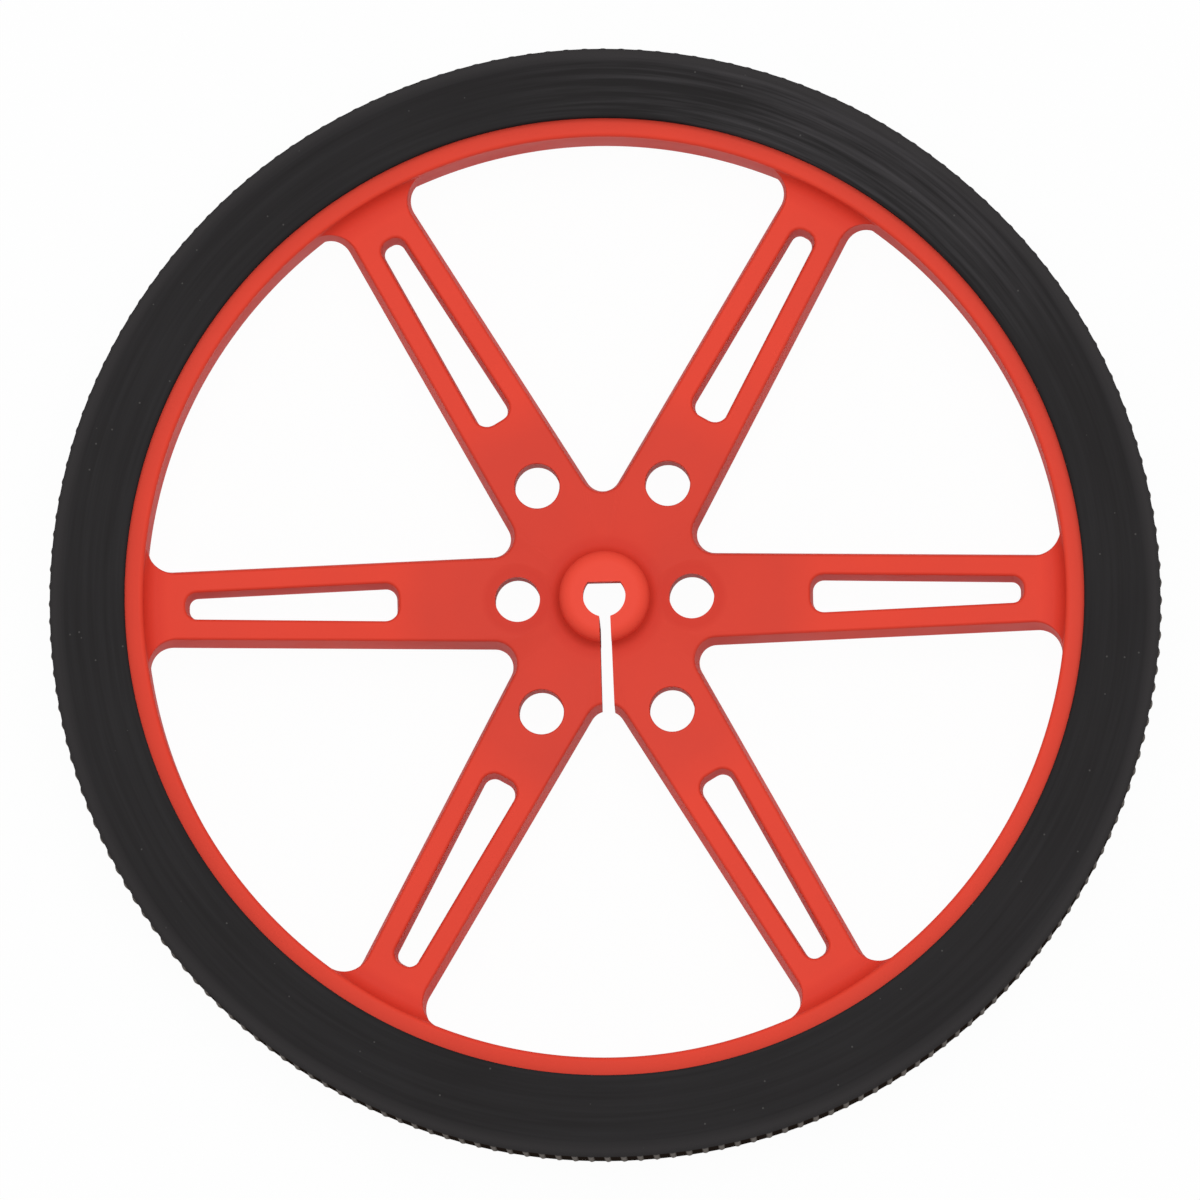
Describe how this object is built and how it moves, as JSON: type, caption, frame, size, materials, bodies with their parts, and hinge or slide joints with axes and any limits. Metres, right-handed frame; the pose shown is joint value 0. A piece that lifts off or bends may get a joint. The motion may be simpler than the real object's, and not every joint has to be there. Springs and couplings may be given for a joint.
{
  "type": "robot car wheel",
  "caption": "Narrow spoked plastic wheel with a ribbed rubber tyre, a D-shaped shaft bore in a slit hub and screw holes for mounting hubs.",
  "frame": {"origin": "centre of the wheel, on its axis and midway between the tyre's sidewalls", "axes": "+Z along the wheel's axis, out of the end of the boss that has the D-shaped land; +X through the two near screw holes; +Y towards the flat of the shaft bore"},
  "size_m": [0.0808, 0.0808, 0.01],
  "materials": {
    "wheel_plastic": "satin moulded red plastic",
    "tyre_rubber": "matte black silicone"
  },
  "bodies": {
    "root": {"wheel": "wheel_plastic", "tyre": "tyre_rubber"}
  },
  "joints": []
}
